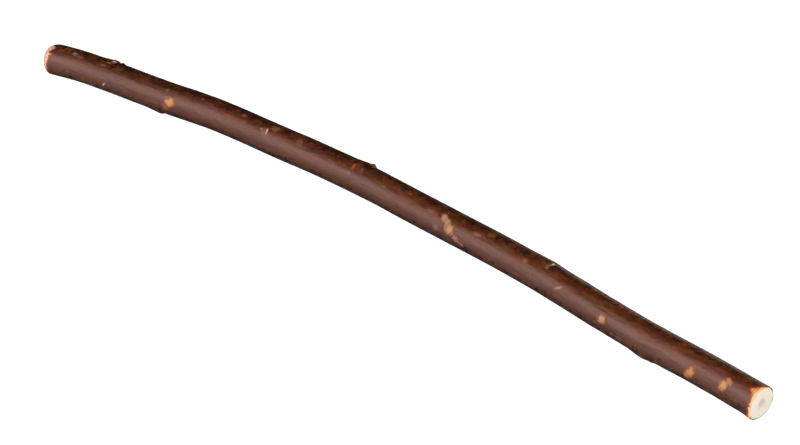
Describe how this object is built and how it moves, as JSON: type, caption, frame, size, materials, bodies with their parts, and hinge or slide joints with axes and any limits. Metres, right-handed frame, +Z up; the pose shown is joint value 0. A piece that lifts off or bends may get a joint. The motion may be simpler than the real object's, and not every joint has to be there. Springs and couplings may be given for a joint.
{
  "type": "cut twig",
  "caption": "Bare cut length of a young hardwood twig, bark on, slightly bowed, sawn across at both ends, lying on its side.",
  "frame": {"origin": "on the surface it lies on, under the middle of its box", "axes": "+X along the chord from the thick base end to the thinner growing tip, +Y towards the outside of the bow, +Z up from the surface it lies on"},
  "size_m": [0.4056, 0.0332, 0.0154],
  "materials": {
    "bark": "smooth satin red-brown bark with paler corky spots and leaf scars",
    "cut_wood": "sawn cream end grain with a small pith and an orange-tan inner bark ring"
  },
  "bodies": {
    "root": {"twig": "bark"}
  },
  "joints": []
}
